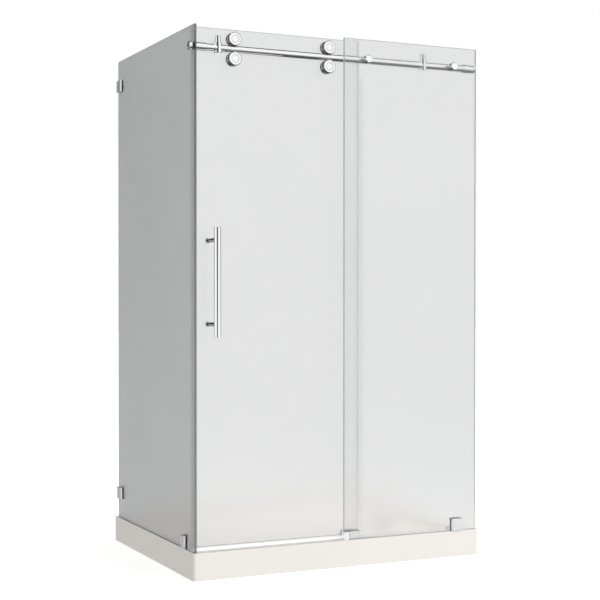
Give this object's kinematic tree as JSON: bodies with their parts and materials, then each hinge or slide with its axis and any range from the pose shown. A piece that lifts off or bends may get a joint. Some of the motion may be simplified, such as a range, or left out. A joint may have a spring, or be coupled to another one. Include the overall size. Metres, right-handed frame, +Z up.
{
  "type": "shower enclosure with sliding door",
  "caption": "Corner shower enclosure: frosted glass panels on a low rectangular tray, with a glass door that slides on rollers along a round overhead rail.",
  "frame": {"origin": "centre of the tray's footprint, on the floor", "axes": "+X to the right seen from the door side, +Y into the corner towards the rear wall, +Z up"},
  "size_m": [1.208, 0.9335, 1.98],
  "materials": {
    "white_acrylic": "smooth glossy acrylic",
    "moulded_support": "moulded matt plastic",
    "frosted_glass": "frosted toughened glass with ground edges",
    "chrome_fittings": "polished",
    "steel_screws": "brushed",
    "rubber_gaskets": "matt",
    "clear_seals": "clear flexible plastic",
    "threshold_profile": "bright polished"
  },
  "bodies": {
    "frame": {"rail_socket": "chrome_fittings", "rail_socket_cap": "chrome_fittings", "rail_wall_bracket": "chrome_fittings", "connector_cap_left": "chrome_fittings", "connector_cap_right": "chrome_fittings", "connector_saddles": "chrome_fittings", "rail_stop_left": "chrome_fittings", "rail_stop_right": "chrome_fittings", "front_floor_clamp_cover": "chrome_fittings", "front_floor_clamp_bracket": "chrome_fittings", "side_floor_clamp_cover": "chrome_fittings", "side_floor_clamp_bracket": "chrome_fittings", "lower_wall_clamp_cover": "chrome_fittings", "lower_wall_clamp_bracket": "chrome_fittings", "upper_wall_clamp_cover": "chrome_fittings", "upper_wall_clamp_bracket": "chrome_fittings", "slide_rail": "chrome_fittings", "drain_strainer": "chrome_fittings", "drain_screws": "steel_screws", "clamp_screws": "steel_screws", "foot_screws": "steel_screws", "rail_socket_stud": "steel_screws", "rail_grub_screws": "steel_screws", "connector_studs": "steel_screws", "stop_grub_screws": "steel_screws", "drain_gasket": "rubber_gaskets", "clamp_gaskets": "rubber_gaskets", "rail_socket_gaskets": "rubber_gaskets", "connector_gaskets": "rubber_gaskets", "side_wall_seal": "clear_seals", "fixed_wall_seal": "clear_seals", "side_panel": "frosted_glass", "fixed_panel": "frosted_glass", "shower_tray": "white_acrylic", "tray_rib_frame": "moulded_support", "drain_body": "moulded_support", "drain_lock_nut": "moulded_support", "threshold_bar": "threshold_profile", "door_guide": "chrome_fittings"},
    "door": {"door_panel": "frosted_glass", "door_edge_seal": "clear_seals", "door_overlap_seal": "clear_seals", "handle_bar": "chrome_fittings", "handle_posts": "chrome_fittings", "handle_end_caps": "chrome_fittings", "handle_gaskets": "rubber_gaskets", "handle_studs": "steel_screws", "handle_back_nuts": "chrome_fittings", "roller_axles": "chrome_fittings", "roller_spacers": "chrome_fittings", "roller_gaskets": "rubber_gaskets", "roller_back_nuts": "chrome_fittings"},
    "wheel_upper_left": {"roller_wheel_upper_left": "chrome_fittings", "roller_bearing_upper_left": "steel_screws"},
    "wheel_upper_right": {"roller_wheel_upper_right": "chrome_fittings", "roller_bearing_upper_right": "steel_screws"},
    "wheel_lower_left": {"roller_wheel_lower_left": "chrome_fittings", "roller_bearing_lower_left": "steel_screws"},
    "wheel_lower_right": {"roller_wheel_lower_right": "chrome_fittings", "roller_bearing_lower_right": "steel_screws"}
  },
  "joints": [
    {"name": "door_slide", "type": "slide", "parent": "frame", "child": "door", "axis": [1, 0, 0], "range_m": [0, 0.3717]},
    {"name": "wheel_upper_left_turn", "type": "hinge", "parent": "door", "child": "wheel_upper_left", "pos_m": [-0.432, -0.4195, 1.9415], "axis": [0, 1, 0], "continuous": true},
    {"name": "wheel_upper_right_turn", "type": "hinge", "parent": "door", "child": "wheel_upper_right", "pos_m": [-0.05, -0.4195, 1.9415], "axis": [0, 1, 0], "continuous": true},
    {"name": "wheel_lower_left_turn", "type": "hinge", "parent": "door", "child": "wheel_lower_left", "pos_m": [-0.432, -0.4195, 1.8705], "axis": [0, 1, 0], "continuous": true},
    {"name": "wheel_lower_right_turn", "type": "hinge", "parent": "door", "child": "wheel_lower_right", "pos_m": [-0.05, -0.4195, 1.8705], "axis": [0, 1, 0], "continuous": true}
  ],
  "couplings": [
    {"joint": "wheel_upper_left_turn", "follows": "door_slide", "rad_per_m": 43.103},
    {"joint": "wheel_upper_right_turn", "follows": "door_slide", "rad_per_m": 43.103},
    {"joint": "wheel_lower_left_turn", "follows": "door_slide", "rad_per_m": -43.103},
    {"joint": "wheel_lower_right_turn", "follows": "door_slide", "rad_per_m": -43.103}
  ]
}
